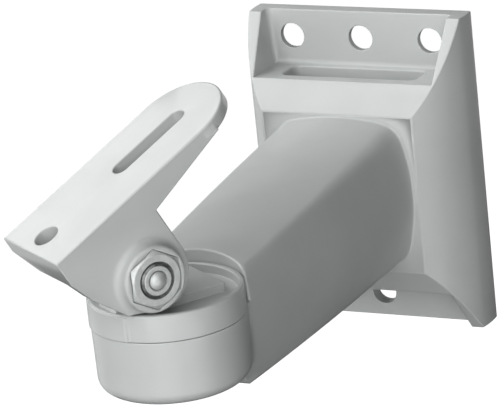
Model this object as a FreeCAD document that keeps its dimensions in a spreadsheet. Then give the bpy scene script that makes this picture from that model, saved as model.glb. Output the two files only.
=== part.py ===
"""Cast wall bracket for a security camera: fixed arm, panning swivel base, tilting saddle.

Frame: millimetres, +Z up. The origin is the middle of the wall plate's back face, the wall is
the plane Y = 0, and the arm reaches out along -Y. The swivel head is built in the pose shown:
the base panned by pan_angle and the saddle tilted with its square end down by tilt_angle.
"""
import FreeCAD, Part
import math
import os

import Sketcher
from FreeCAD import Placement, Rotation, Vector

# Driving dimensions, each with the name of its cell in the sheet.
SIZES = {
    # wall plate
    "plate_width": 89.0,
    "plate_height": 124.0,
    "plate_depth": 33.3,
    "flange_thickness": 5.8,
    "flare_reach": 13.1,
    "flare_radius": 38.0,
    "front_top": 29.5,
    "front_bottom": 33.0,
    "top_reach": 10.6,
    "bottom_reach": 12.0,
    "ledge_above": 40.2,
    "ledge_below": 44.0,
    "cheek_thickness": 5.6,
    "cheek_draft": 1.6,
    "ledge_fillet": 2.2,
    "slope_edge": 0.5,
    "cast_edge": 0.8,
    "fine_edge": 0.4,
    "front_edge_fillet": 1.6,
    "wall_hole_diameter": 10.0,
    "wall_hole_spacing": 29.0,
    "wall_hole_from_top": 10.7,
    "wall_hole_from_bottom": 9.8,
    "relief_depth": 3.1,
    "relief_rim": 3.5,
    "relief_above_ledge": 2.0,
    "relief_corner": 3.0,
    "recess_length": 56.0,
    "recess_width": 12.0,
    "recess_from_wall": 8.5,
    "recess_depth": 11.0,
    "recess_corner": 3.0,
    # arm
    "reach": 179.0,
    "root_inset": 2.2,
    "root_top": 28.2,
    "root_bottom": 31.1,
    "middle_place": 82.0,
    "middle_taper": 1.5,
    "middle_top": 23.8,
    "middle_bottom": 31.3,
    "end_inset": 5.0,
    "end_top": 14.9,
    "end_bottom": 30.7,
    "root_corner": 10.0,
    "middle_corner": 6.1,
    "end_corner": 3.1,
    "side_bulge_radius": 72.0,
    "top_bulge_radius": 95.0,
    "root_fillet": 0.7,
    "heel_radius": 20.0,
    "arm_wall": 4.8,
    "hollow_margin": 7.5,
    "hollow_top": 26.0,
    "hollow_bottom": 38.0,
    "hollow_corner": 6.0,
    "hollow_end_corner": 2.5,
    "cavity_end": 47.0,
    # cup under the swivel
    "seam_height": 2.8,
    "cup_radius": 27.7,
    "cup_height": 24.2,
    "cup_draft": 0.3,
    "cup_foot_fillet": 5.0,
    "cup_deck": 8.9,
    "cup_wall": 7.5,
    "swing_clearance": 0.4,
    "arch_edge": 0.8,
    # swivel base
    "pan_angle": 57.0,
    "friction_ring_thickness": 0.3,
    "friction_ring_inset": 1.5,
    "friction_ring_width": 7.0,
    "base_height": 9.8,
    "base_edge": 0.8,
    "land_rise": 0.5,
    "land_start": 105.0,
    "land_sweep": 105.0,
    "rim_width": 2.3,
    "tray_depth": 3.3,
    "foot_clearance": 0.4,
    "foot_back": 14.0,
    "foot_rim_gap": 2.6,
    "ear_thickness": 12.0,
    "ear_front": 9.5,
    "ear_radius": 10.5,
    "ear_setback": 2.2,
    "bolt_rise": 12.9,
    # saddle
    "tilt_angle": 28.0,
    "saddle_width": 38.9,
    "saddle_thickness": 4.4,
    "saddle_rise": 28.5,
    "square_end": 24.3,
    "round_end": 44.8,
    "haunch_depth": 11.0,
    "haunch_far_depth": 2.2,
    "haunch_slope_width": 15.0,
    "rib_thickness": 6.0,
    "rib_end": 50.5,
    "web_thickness": 7.0,
    "web_heel_radius": 15.8,
    "web_corner_in": 3.0,
    "web_corner_down": 20.0,
    "web_foot_in": 8.7,
    "web_foot_down": 31.6,
    "web_foot_depth": 12.1,
    "boss_radius": 12.0,
    "boss_height": 5.0,
    "boss_cove": 2.6,
    "boss_edge": 1.2,
    "slot_width": 7.0,
    "slot_start": 16.5,
    "slot_end": 49.5,
    "camera_hole_diameter": 9.1,
    "camera_hole_from_end": 8.1,
    # tilt bolt and what it holds
    "bolt_diameter": 12.0,
    "shaft_clearance": 0.08,
    "thread_clearance": 0.03,
    "washer_clearance": 0.5,
    "nut_across_flats": 19.0,
    "nut_height": 6.0,
    "nut_sunk": 5.3,
    "nut_pocket_clearance": 0.25,
    "bolt_stick_out": 0.6,
    "bolt_point": 1.2,
    "end_dome_diameter": 6.8,
    "end_dome_height": 1.4,
    "end_groove_width": 0.5,
    "end_groove_depth": 0.5,
    "head_height": 7.5,
    "washer_diameter": 24.0,
    "washer_thickness": 2.5,
    "spring_washer_diameter": 21.1,
    "spring_washer_thickness": 2.5,
    "spring_washer_slot": 2.0,
    "friction_washer_thickness": 1.0,
    "friction_washer_diameter": 20.5,
    # pan bolt
    "pan_bolt_bite": 7.6,
    "pan_hole_extra": 0.5,
}

doc = FreeCAD.newDocument("camera_bracket")
sheet = doc.addObject("Spreadsheet::Sheet", "Sizes")


def fill_sheet():
    """Writes every driving dimension into its named cell."""
    for row, (alias, value) in enumerate(SIZES.items(), start=1):
        sheet.set(f"A{row}", alias)
        sheet.set(f"B{row}", str(value))
        sheet.setAlias(f"B{row}", alias)
    doc.recompute()


class Size:
    """A number together with the sheet expression that gives it."""

    def __init__(self, value, text):
        self.value = float(value)
        self.text = text

    @staticmethod
    def wrap(other):
        return other if isinstance(other, Size) else Size(other, repr(float(other)))

    def combine(self, other, sign, value):
        return Size(value, f"({self.text} {sign} {Size.wrap(other).text})")

    def __add__(self, other):
        return self.combine(other, "+", self.value + Size.wrap(other).value)

    def __radd__(self, other):
        return Size.wrap(other) + self

    def __sub__(self, other):
        return self.combine(other, "-", self.value - Size.wrap(other).value)

    def __rsub__(self, other):
        return Size.wrap(other) - self

    def __mul__(self, other):
        return self.combine(other, "*", self.value * Size.wrap(other).value)

    def __rmul__(self, other):
        return Size.wrap(other) * self

    def __truediv__(self, other):
        return self.combine(other, "/", self.value / Size.wrap(other).value)

    def __neg__(self):
        return Size(-self.value, f"(0 - {self.text})")


def size(alias):
    """The driving dimension of that name."""
    return Size(SIZES[alias], f"Sizes.{alias}")


def sine(angle):
    return Size(math.sin(math.radians(angle.value)), f"sin({angle.text})")


def cosine(angle):
    return Size(math.cos(math.radians(angle.value)), f"cos({angle.text})")


def root(number):
    return Size(math.sqrt(number.value), f"sqrt({number.text})")


def bind(thing, prop, amount):
    """Ties a property to the sheet."""
    thing.setExpression(prop, Size.wrap(amount).text)


def new_body(label):
    body = doc.addObject("PartDesign::Body", label)
    body.Label = label
    return body


def new_sketch(body, name, role, lift=0.0):
    """A sketch on one of the body's origin planes, lifted along the plane's normal.

    XY_Plane looks along +Z. XZ_Plane has its normal along -Y, so a lift moves it away from the
    wall. YZ_Plane has Y across and Z up.
    """
    sketch = body.newObject("Sketcher::SketchObject", name)
    plane = next(feature for feature in body.Origin.OriginFeatures if feature.Role == role)
    sketch.AttachmentSupport = [(plane, "")]
    sketch.MapMode = "FlatFace"
    lift = Size.wrap(lift)
    sketch.AttachmentOffset = Placement(Vector(0, 0, lift.value), Rotation())
    bind(sketch, "AttachmentOffset.Base.z", lift)
    return sketch


def fix(sketch, kind, *where, amount=None):
    """Adds a constraint and, where it has an amount, ties that to the sheet."""
    if amount is None:
        return sketch.addConstraint(Sketcher.Constraint(kind, *where))
    index = sketch.addConstraint(Sketcher.Constraint(kind, *where, Size.wrap(amount).value))
    bind(sketch, f"Constraints[{index}]", amount)
    return index


def pin(sketch, geometry, point, x, y):
    """Places a point of the sketch by its two coordinates."""
    fix(sketch, "DistanceX", -1, 1, geometry, point, amount=x)
    fix(sketch, "DistanceY", -1, 1, geometry, point, amount=y)


def add_circle(sketch, x, y, radius):
    x, y, radius = Size.wrap(x), Size.wrap(y), Size.wrap(radius)
    centre = Vector(x.value, y.value, 0)
    circle = sketch.addGeometry(Part.Circle(centre, Vector(0, 0, 1), radius.value))
    pin(sketch, circle, 3, x, y)
    fix(sketch, "Radius", circle, amount=radius)


def arc_between(start, end, radius, bulge):
    """The arc through two points; bulge is +1 for one that swells to the right of its way.

    A sketch keeps its arcs counter-clockwise, so the other kind is drawn from its end.
    """
    chord = end.sub(start)
    half = chord.Length / 2.0
    side = Vector(chord.y, -chord.x, 0).normalize() * bulge
    rise = radius - math.sqrt(max(radius * radius - half * half, 0.0))
    middle = (start + end) * 0.5 + side * rise
    return Part.Arc(start, middle, end) if bulge > 0 else Part.Arc(end, middle, start)


def add_outline(sketch, corners):
    """A closed outline. Each corner is (x, y) or (x, y, radius, bulge) for an arc to the next."""
    places = [Vector(Size.wrap(c[0]).value, Size.wrap(c[1]).value, 0) for c in corners]
    first_points = []
    for number, corner in enumerate(corners):
        start = places[number]
        end = places[(number + 1) % len(corners)]
        if len(corner) == 2:
            line = sketch.addGeometry(Part.LineSegment(start, end))
            first_points.append((line, 1, 2))
            continue
        radius = Size.wrap(corner[2])
        arc = sketch.addGeometry(arc_between(start, end, radius.value, corner[3]))
        first_points.append((arc, 1, 2) if corner[3] > 0 else (arc, 2, 1))
        following = corners[(number + 1) % len(corners)]
        if not close(start.distanceToPoint(end), 2.0 * radius.value, 1e-6):
            fix(sketch, "Radius", arc, amount=radius)
        elif abs(end.x - start.x) > abs(end.y - start.y):
            fix(sketch, "DistanceY", -1, 1, arc, 3, amount=(corner[1] + following[1]) / 2.0)
        else:
            fix(sketch, "DistanceX", -1, 1, arc, 3, amount=(corner[0] + following[0]) / 2.0)
    for number, (geometry, first, last) in enumerate(first_points):
        following, follow_first, _ = first_points[(number + 1) % len(first_points)]
        fix(sketch, "Coincident", geometry, last, following, follow_first)
        pin(sketch, geometry, first, corners[number][0], corners[number][1])


def add_swollen_box(sketch, half_width, top, bottom, corner, side_radius, top_radius):
    """A box outline with slightly swollen sides and round corners, from 8 tangent arcs."""
    middle = (top - bottom) / 2.0
    height = (top + bottom) / 2.0
    side_reach = half_width - side_radius
    top_reach = height - top_radius
    # The centre of the corner arc lies on two circles: one round each neighbour's centre.
    inner_side = (side_radius - corner).value
    inner_top = (top_radius - corner).value
    apart = math.hypot(side_reach.value, top_reach.value)
    along = (inner_side ** 2 - inner_top ** 2 + apart ** 2) / (2.0 * apart)
    away = math.sqrt(inner_side ** 2 - along ** 2)
    way = Vector(-side_reach.value, top_reach.value, 0).normalize()
    across = Vector(-way.y, way.x, 0)
    side_centre = Vector(side_reach.value, 0, 0)
    choices = [side_centre + way * along + across * away * turn for turn in (1, -1)]
    centre = max(choices, key=lambda point: point.x + point.y)

    def on_arc(core, radius):
        return core + (centre - core).normalize() * radius

    meet_side = on_arc(side_centre, side_radius.value)
    meet_top = on_arc(Vector(0, top_reach.value, 0), top_radius.value)
    quarter = [meet_side, meet_top]
    turned = [
        [quarter[0], quarter[1]],
        [Vector(-quarter[1].x, quarter[1].y, 0), Vector(-quarter[0].x, quarter[0].y, 0)],
        [Vector(-quarter[0].x, -quarter[0].y, 0), Vector(-quarter[1].x, -quarter[1].y, 0)],
        [Vector(quarter[1].x, -quarter[1].y, 0), Vector(quarter[0].x, -quarter[0].y, 0)],
    ]
    lift = Vector(0, middle.value, 0)
    arcs = []
    for number, (start, end) in enumerate(turned):
        following = turned[(number + 1) % 4][0]
        long_radius = (top_radius if number % 2 == 0 else side_radius).value
        arcs.append(sketch.addGeometry(arc_between(start + lift, end + lift, corner.value, 1)))
        arcs.append(sketch.addGeometry(arc_between(end + lift, following + lift, long_radius, 1)))
    for number, arc in enumerate(arcs):
        fix(sketch, "Tangent", arc, 2, arcs[(number + 1) % 8], 1)
        if number % 2 == 0:
            fix(sketch, "Radius", arc, amount=corner)
    for number, x, y, radius in (
        (1, 0.0, middle + top_reach, top_radius),
        (3, -side_reach, middle, side_radius),
        (5, 0.0, middle - top_reach, top_radius),
        (7, side_reach, middle, side_radius),
    ):
        fix(sketch, "Radius", arcs[number], amount=radius)
        pin(sketch, arcs[number], 3, x, y)


def add_hexagon(sketch, across_flats, turn=0.0):
    """A hexagon round the sketch's origin; at no turn a flat faces right."""
    turn = Size.wrap(turn)
    corner = across_flats / math.sqrt(3.0)
    points = []
    for number in range(6):
        angle = turn + 30.0 + 60.0 * number
        points.append((corner * cosine(angle), corner * sine(angle)))
    add_outline(sketch, points)


def meets_sharply(shape, edge, limit=20.0):
    """True where the edge's two faces meet at more than the limit, in degrees."""
    faces = shape.ancestorsOfType(edge, Part.Face)
    if len(faces) != 2:
        return False
    point = middle_of(edge)
    normals = [face.normalAt(*face.Surface.parameter(point)) for face in faces]
    return math.degrees(normals[0].getAngle(normals[1])) > limit


def volume(body):
    return body.Shape.Volume


def grow(body, kind, name, profile, length=None, reverse=False, both=False):
    """A Pad, Pocket, Revolution or Groove of one sketch, checked to have changed the body."""
    before = volume(body) if body.Tip is not None and not body.Shape.isNull() else 0.0
    feature = body.newObject(f"PartDesign::{kind}", name)
    feature.Profile = profile
    if kind in ("Revolution", "Groove"):
        feature.ReferenceAxis = (profile, ["V_Axis"])
        feature.Angle = 360.0
    elif length is None:
        feature.Type = "ThroughAll"
        feature.SideType = "Symmetric" if both else "One side"
    else:
        feature.Type = "Length"
        feature.SideType = "Symmetric" if both else "One side"
        feature.Length = Size.wrap(length).value
        bind(feature, "Length", length)
    if kind in ("Pad", "Pocket"):
        feature.Reversed = reverse
    doc.recompute()
    assert abs(volume(body) - before) > 1e-3, f"{body.Label}.{name} changed nothing"
    return feature


def loft(body, kind, name, sections, ruled=False):
    before = volume(body) if not body.Shape.isNull() else 0.0
    feature = body.newObject(f"PartDesign::{kind}", name)
    feature.Profile = sections[0]
    feature.Sections = sections[1:]
    feature.Ruled = ruled
    doc.recompute()
    assert abs(volume(body) - before) > 1e-3, f"{body.Label}.{name} changed nothing"
    return feature


def soften(body, kind, name, amount, wanted):
    """A Fillet or Chamfer on the body's sharp edges for which wanted(edge) is true."""
    base = body.Tip
    names = [
        f"Edge{number}"
        for number, edge in enumerate(base.Shape.Edges, start=1)
        if wanted(edge) and meets_sharply(base.Shape, edge)
    ]
    assert names, f"{body.Label}.{name} found no edge"
    feature = body.newObject(f"PartDesign::{kind}", name)
    feature.Base = (base, names)
    prop = "Radius" if kind == "Fillet" else "Size"
    setattr(feature, prop, Size.wrap(amount).value)
    bind(feature, prop, amount)
    doc.recompute()
    assert "Invalid" not in feature.State, f"{body.Label}.{name} failed on {names}"
    return feature


def spread(edge):
    """The edge's extent in x, y and z."""
    box = edge.BoundBox
    return box.XLength, box.YLength, box.ZLength


def middle_of(edge):
    first, last = edge.ParameterRange
    return edge.valueAt((first + last) / 2.0)


def close(one, other, slack=0.05):
    return abs(one - other) < slack


# Values that several pieces share.

plate_half = size("plate_width") / 2.0
plate_top = size("plate_height") / 2.0
front_half = plate_half - size("flare_reach")
depth = size("plate_depth")
flange = size("flange_thickness")
notch_top_half = plate_half - size("cheek_thickness")
notch_low_half = notch_top_half - size("cheek_draft")
reach = size("reach")
seam = size("seam_height")
cup_radius = size("cup_radius")
root_half = front_half - size("root_inset")
middle_half = root_half - size("middle_taper")
end_half = cup_radius - size("end_inset")
hollow_half = plate_half - size("hollow_margin")
bolt_offset = cup_radius - size("ear_radius") - size("ear_setback")
ring_thickness = size("friction_ring_thickness")
base_floor = seam + ring_thickness
base_top = base_floor + size("base_height")
bolt_height = base_top + size("bolt_rise")
bolt_radius = size("bolt_diameter") / 2.0
shaft_hole = bolt_radius + size("shaft_clearance")
thread_hole = bolt_radius + size("thread_clearance")
land_radius = cup_radius + size("land_rise")
web_inner = size("ear_front") + size("friction_washer_thickness")
web_face = web_inner + size("web_thickness")
boss_face = web_face + size("boss_height")
pocket_floor = boss_face - size("nut_sunk")
nut_face = pocket_floor + size("nut_height")
bolt_tip = nut_face + size("bolt_stick_out")
ear_back = size("ear_front") - size("ear_thickness")
head_seat = ear_back - size("washer_thickness") - size("spring_washer_thickness")
tray_floor = size("base_height") - size("tray_depth")
cup_floor = seam - size("cup_height")
deck_floor = seam - size("cup_deck")


def head_frame(z, x_shift=0.0):
    """The panned frame: origin on the pan axis at height z, X toward the saddle's round end."""
    pan = Rotation(Vector(0, 0, 1), size("pan_angle").value)
    place = Vector(0, -reach.value, Size.wrap(z).value)
    return Placement(place + pan.multVec(Vector(Size.wrap(x_shift).value, 0, 0)), pan)


def seat(body, z, x_shift=0.0, tilt=None):
    """Places a body in the panned frame, tilted where asked, with its values tied to the sheet."""
    frame = head_frame(z, x_shift)
    if tilt is None:
        body.Placement = frame
        bind(body, "Placement.Rotation.Angle", size("pan_angle"))
    else:
        turn = Rotation(Vector(0, 1, 0), -tilt.value)
        body.Placement = Placement(frame.Base, frame.Rotation.multiply(turn))
    shift = Size.wrap(x_shift)
    bind(body, "Placement.Base.x", shift * cosine(size("pan_angle")))
    bind(body, "Placement.Base.y", shift * sine(size("pan_angle")) - reach)
    bind(body, "Placement.Base.z", z)


# Wall plate, arm and cup: one casting

def section_sketch(body, name, place, half_width, top, bottom, corner, inset):
    """One cross-section of the arm, or of its hollow where inset is the wall thickness."""
    sketch = new_sketch(body, name, "XZ_Plane", place)
    add_swollen_box(
        sketch,
        half_width - inset,
        size(top) - inset,
        size(bottom) - inset,
        corner,
        size("side_bulge_radius") - inset,
        size("top_bulge_radius") - inset,
    )
    return sketch


def build_plate(body):
    plan = new_sketch(body, "plate_plan", "XY_Plane")
    radius = size("flare_radius")
    add_outline(plan, [
        (-front_half, -depth),
        (front_half, -depth, radius, 1),
        (plate_half, 0.0),
        (-plate_half, 0.0, radius, 1),
    ])
    grow(body, "Pad", "plate_block", plan, size("plate_height"), both=True)

    slopes = new_sketch(body, "slopes", "YZ_Plane")
    add_outline(slopes, [
        (-depth, size("front_top")),
        (-size("top_reach"), plate_top),
        (-depth, plate_top),
    ])
    add_outline(slopes, [
        (-depth, -size("front_bottom")),
        (-size("bottom_reach"), -plate_top),
        (-depth, -plate_top),
    ])
    grow(body, "Pocket", "slope_cuts", slopes, both=True)

    front = soften(body, "Fillet", "front_edges", size("front_edge_fillet"), lambda edge: (
        close(middle_of(edge).y, -depth.value)
        and spread(edge)[1] < 0.01))
    return front


def build_relief(body):
    """The shallow pocket in the plate's back that leaves the metal thin round the upper holes."""
    half = plate_half - size("hollow_margin")
    low = size("ledge_above") + size("relief_above_ledge")
    high = plate_top - size("relief_rim")
    corner = size("relief_corner")
    relief = new_sketch(body, "relief", "XZ_Plane")
    add_outline(relief, [
        (-half + corner, low),
        (half - corner, low, corner, 1),
        (half, low + corner),
        (half, high - corner, corner, 1),
        (half - corner, high),
        (-half + corner, high, corner, 1),
        (-half, high - corner),
        (-half, low + corner, corner, 1),
    ])
    grow(body, "Pocket", "relief_cut", relief, size("relief_depth"), reverse=True)


def build_notches(body):
    notches = new_sketch(body, "notches", "XZ_Plane", flange)
    add_outline(notches, [
        (-notch_low_half, size("ledge_above")),
        (notch_low_half, size("ledge_above")),
        (notch_top_half, plate_top),
        (-notch_top_half, plate_top),
    ])
    add_outline(notches, [
        (-notch_low_half, -size("ledge_below")),
        (notch_low_half, -size("ledge_below")),
        (notch_top_half, -plate_top),
        (-notch_top_half, -plate_top),
    ])
    grow(body, "Pocket", "notch_cuts", notches, reverse=True)
    soften(body, "Fillet", "notch_fillets", size("ledge_fillet"), lambda edge: (
        close(middle_of(edge).y, -flange.value)
        and spread(edge)[1] < 0.01
        and abs(middle_of(edge).z) < plate_top.value - 1.0))

    recess = new_sketch(body, "ledge_recess", "XY_Plane", size("ledge_above"))
    half = size("recess_length") / 2.0
    back = -size("recess_from_wall")
    front = back - size("recess_width")
    corner = size("recess_corner")
    add_outline(recess, [
        (-half + corner, front),
        (half - corner, front, corner, 1),
        (half, front + corner),
        (half, back - corner, corner, 1),
        (half - corner, back),
        (-half + corner, back, corner, 1),
        (-half, back - corner),
        (-half, front + corner, corner, 1),
    ])
    grow(body, "Pocket", "recess_cut", recess, size("recess_depth"))


def build_arm(body):
    stations = (
        ("root", depth, root_half),
        ("middle", size("middle_place"), middle_half),
        ("end", reach - 7.0, end_half),
    )
    outer = [
        section_sketch(body, f"arm_{name}", place, half_width, f"{name}_top", f"{name}_bottom",
                       size(f"{name}_corner"), Size.wrap(0.0))
        for name, place, half_width in stations
    ]
    loft(body, "AdditiveLoft", "arm", outer)
    soften(body, "Fillet", "arm_root", size("root_fillet"), lambda edge: (
        close(middle_of(edge).y, -depth.value)
        and spread(edge)[1] < 0.01
        and abs(middle_of(edge).x) < front_half.value - 1.8
        and abs(middle_of(edge).z) < size("root_bottom").value + 0.5))

    # The heel of the arm rounds up to the cup's foot.
    heel = new_sketch(body, "heel", "YZ_Plane")
    radius = size("heel_radius")
    start = -(reach - 7.0) + radius
    low = -size("end_bottom")
    add_outline(heel, [
        (start, low - 0.6),
        (start, low, radius, -1),
        (start - radius, low + radius),
        (start - radius - 2.0, low + radius),
        (start - radius - 2.0, low - 0.6),
    ])
    grow(body, "Pocket", "heel_cut", heel, both=True)


def build_cup(body):
    profile = new_sketch(body, "cup_profile", "XZ_Plane", reach)
    corner = size("cup_foot_fillet")
    foot = cup_radius - size("cup_draft")
    add_outline(profile, [
        (0.0, cup_floor),
        (foot - corner, cup_floor, corner, 1),
        (foot, cup_floor + corner),
        (cup_radius, seam),
        (0.0, seam),
    ])
    grow(body, "Revolution", "cup", profile)

    # The swivel base turns inside this cut, which leaves the arch at the arm's end.
    swing = new_sketch(body, "swing", "XY_Plane", seam)
    add_circle(swing, 0.0, -reach, land_radius + size("swing_clearance"))
    grow(body, "Pocket", "swing_cut", swing, reverse=True)

    bore = new_sketch(body, "bolt_space", "XZ_Plane", reach)
    inner = cup_radius - size("cup_draft") - size("cup_wall")
    add_outline(bore, [
        (0.0, cup_floor - 1.0),
        (inner, cup_floor - 1.0),
        (inner, deck_floor),
        (shaft_hole, deck_floor),
        (shaft_hole, seam + 1.0),
        (0.0, seam + 1.0),
    ])
    grow(body, "Groove", "bolt_space_cut", bore)


def build_hollow(body):
    wall = size("arm_wall")
    inner = [
        section_sketch(body, "hollow_wall", 0.0, hollow_half, "hollow_top", "hollow_bottom",
                       size("hollow_corner"), Size.wrap(0.0)),
        section_sketch(body, "hollow_root", depth, root_half, "root_top", "root_bottom",
                       size("hollow_corner"), wall),
        section_sketch(body, "hollow_end", reach - size("cavity_end"), end_half, "end_top",
                       "end_bottom", size("hollow_end_corner"), wall),
    ]
    loft(body, "SubtractiveLoft", "hollow", inner, ruled=True)


def soften_plate(body):
    """Rounds the plate's outer corners the way a casting comes out of its mould."""
    top_slope = (plate_top - size("front_top")).value / (depth - size("top_reach")).value
    low_slope = (plate_top - size("front_bottom")).value / (depth - size("bottom_reach")).value

    def on_slope(edge):
        point = middle_of(edge)
        top = close(point.z, size("front_top").value + (point.y + depth.value) * top_slope)
        low = close(point.z, -size("front_bottom").value - (point.y + depth.value) * low_slope)
        return (top or low) and edge.Length > 10.0 and abs(point.z) > size("front_bottom").value + 2.0

    def outer(edge):
        return on_slope(edge) and abs(middle_of(edge).x) > notch_top_half.value

    def inner(edge):
        return on_slope(edge) and abs(middle_of(edge).x) < notch_top_half.value

    soften(body, "Fillet", "outer_slope_edges", size("slope_edge"), outer)
    soften(body, "Fillet", "inner_slope_edges", size("slope_edge"), inner)
    soften(body, "Fillet", "flange_edges", size("fine_edge"), lambda edge: (
        close(abs(middle_of(edge).z), plate_top.value)
        and close(middle_of(edge).y, -flange.value)
        and edge.Length > plate_half.value))
    soften(body, "Fillet", "recess_edges", size("cast_edge"), lambda edge: (
        close(middle_of(edge).z, size("ledge_above").value)
        and abs(middle_of(edge).x) < size("recess_length").value / 2.0 + 0.1
        and -middle_of(edge).y < size("recess_from_wall").value + size("recess_width").value + 0.1
        and -middle_of(edge).y > size("recess_from_wall").value - 0.1))


def soften_arch(body):
    """Rounds the arch that the arm leaves over the swivel base."""
    swing = land_radius + size("swing_clearance")

    def on_arch(edge):
        point = middle_of(edge)
        out = math.hypot(point.x, point.y + reach.value)
        return close(out, swing.value) and point.z > seam.value + 0.5

    soften(body, "Fillet", "arch_edges", size("arch_edge"), on_arch)


def build_wall_holes(body):
    holes = new_sketch(body, "wall_holes", "XZ_Plane", depth)
    radius = size("wall_hole_diameter") / 2.0
    upper = plate_top - size("wall_hole_from_top")
    for step in (-1.0, 0.0, 1.0):
        add_circle(holes, size("wall_hole_spacing") * step, upper, radius)
    add_circle(holes, 0.0, -plate_top + size("wall_hole_from_bottom"), radius)
    grow(body, "Pocket", "wall_hole_cuts", holes)


def build_wall_arm():
    body = new_body("wall_arm")
    build_plate(body)
    build_arm(body)
    build_cup(body)
    build_notches(body)
    build_relief(body)
    soften_plate(body)
    soften_arch(body)
    build_hollow(body)
    build_wall_holes(body)
    return body


# Swivel base: turntable disc with the upright ear, one casting

def add_sector(sketch, inner, outer, start, sweep):
    """A piece of a ring between two angles, measured from +X toward +Y."""
    stop = start + sweep
    add_outline(sketch, [
        (inner * cosine(start), inner * sine(start)),
        (outer * cosine(start), outer * sine(start), outer, 1),
        (outer * cosine(stop), outer * sine(stop)),
        (inner * cosine(stop), inner * sine(stop), inner, -1),
    ])


def build_swivel_base():
    body = new_body("swivel_base")
    disc = new_sketch(body, "disc", "XY_Plane")
    add_circle(disc, 0.0, 0.0, cup_radius)
    grow(body, "Pad", "disc_block", disc, size("base_height"))
    soften(body, "Fillet", "disc_edge", size("base_edge"), lambda edge: (
        close(middle_of(edge).z, size("base_height").value)))

    tray = new_sketch(body, "tray", "XY_Plane", size("base_height"))
    add_circle(tray, 0.0, 0.0, cup_radius - size("rim_width"))
    grow(body, "Pocket", "tray_cut", tray, size("tray_depth"))

    # The raised foot under the ear: local -Y is the nut's side of the head.
    foot = new_sketch(body, "foot", "XY_Plane", tray_floor - 0.5)
    inner = cup_radius - 1.0
    corner_reach = cup_radius - size("rim_width") - size("foot_rim_gap")
    foot_right = root(corner_reach * corner_reach - size("foot_back") * size("foot_back"))
    foot_front = web_inner - size("foot_clearance")
    left = -root(inner * inner - foot_front * foot_front)
    left_back = -root(inner * inner - size("foot_back") * size("foot_back"))
    add_outline(foot, [
        (left, -foot_front),
        (foot_right, -foot_front),
        (foot_right, size("foot_back")),
        (left_back, size("foot_back"), inner, 1),
    ])
    grow(body, "Pad", "foot_block", foot, size("tray_depth") + 0.5)

    land = new_sketch(body, "land", "XY_Plane")
    add_sector(land, cup_radius - 2.0, land_radius, size("land_start"), size("land_sweep"))
    grow(body, "Pad", "land_block", land, size("base_height") - size("base_edge"))

    ear = new_sketch(body, "ear", "XZ_Plane", ear_back)
    radius = size("ear_radius")
    eye_x = -bolt_offset
    eye_z = size("base_height") + size("bolt_rise")
    add_outline(ear, [
        (eye_x - radius, tray_floor),
        (eye_x + radius, tray_floor),
        (eye_x + radius, eye_z, radius, 1),
        (eye_x - radius, eye_z),
    ])
    grow(body, "Pad", "ear_plate", ear, size("ear_thickness"))

    eye = new_sketch(body, "eye", "XZ_Plane", ear_back)
    add_circle(eye, eye_x, eye_z, shaft_hole)
    grow(body, "Pocket", "eye_bore", eye, reverse=True)

    soften(body, "Fillet", "rim_edges", size("fine_edge"), lambda edge: (
        close(middle_of(edge).z, size("base_height").value)
        and close(math.hypot(middle_of(edge).x, middle_of(edge).y),
                  (cup_radius - size("rim_width")).value)))

    pan_hole = new_sketch(body, "pan_hole", "XY_Plane")
    add_circle(pan_hole, 0.0, 0.0, thread_hole)
    deep = size("pan_bolt_bite") + size("pan_hole_extra")
    grow(body, "Pocket", "pan_bore", pan_hole, deep, reverse=True)
    seat(body, base_floor)
    return body


# Saddle: camera plate, haunch, web and boss, one casting

def build_saddle_plate(body):
    near = -web_face
    far = near + size("saddle_width")
    half = size("saddle_width") / 2.0
    top = size("saddle_rise")
    thick = size("saddle_thickness")
    end = -size("square_end")
    plate = new_sketch(body, "plate", "XY_Plane", top)
    add_outline(plate, [
        (end, near),
        (size("round_end"), near, half, 1),
        (size("round_end"), far),
        (end, far),
    ])
    grow(body, "Pad", "plate_slab", plate, thick, reverse=True)

    # The haunch is the thick part under the plate, thinning toward the far side.
    haunch = new_sketch(body, "haunch", "YZ_Plane", end)
    under = top - thick + 0.5
    add_outline(haunch, [
        (near, top - size("haunch_depth")),
        (far - size("haunch_slope_width"), top - size("haunch_depth")),
        (far, top - thick - size("haunch_far_depth")),
        (far, under),
        (near, under),
    ])
    length = size("square_end") + size("web_heel_radius")
    grow(body, "Pad", "haunch_block", haunch, length)

    rib = new_sketch(body, "rib", "XZ_Plane", web_face)
    add_outline(rib, [
        (size("web_heel_radius") - 0.5, top - size("haunch_depth")),
        (size("web_heel_radius"), top - size("haunch_depth")),
        (size("rib_end"), top - thick),
        (size("rib_end"), under),
        (size("web_heel_radius") - 0.5, under),
    ])
    grow(body, "Pad", "rib_block", rib, size("rib_thickness"), reverse=True)


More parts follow.
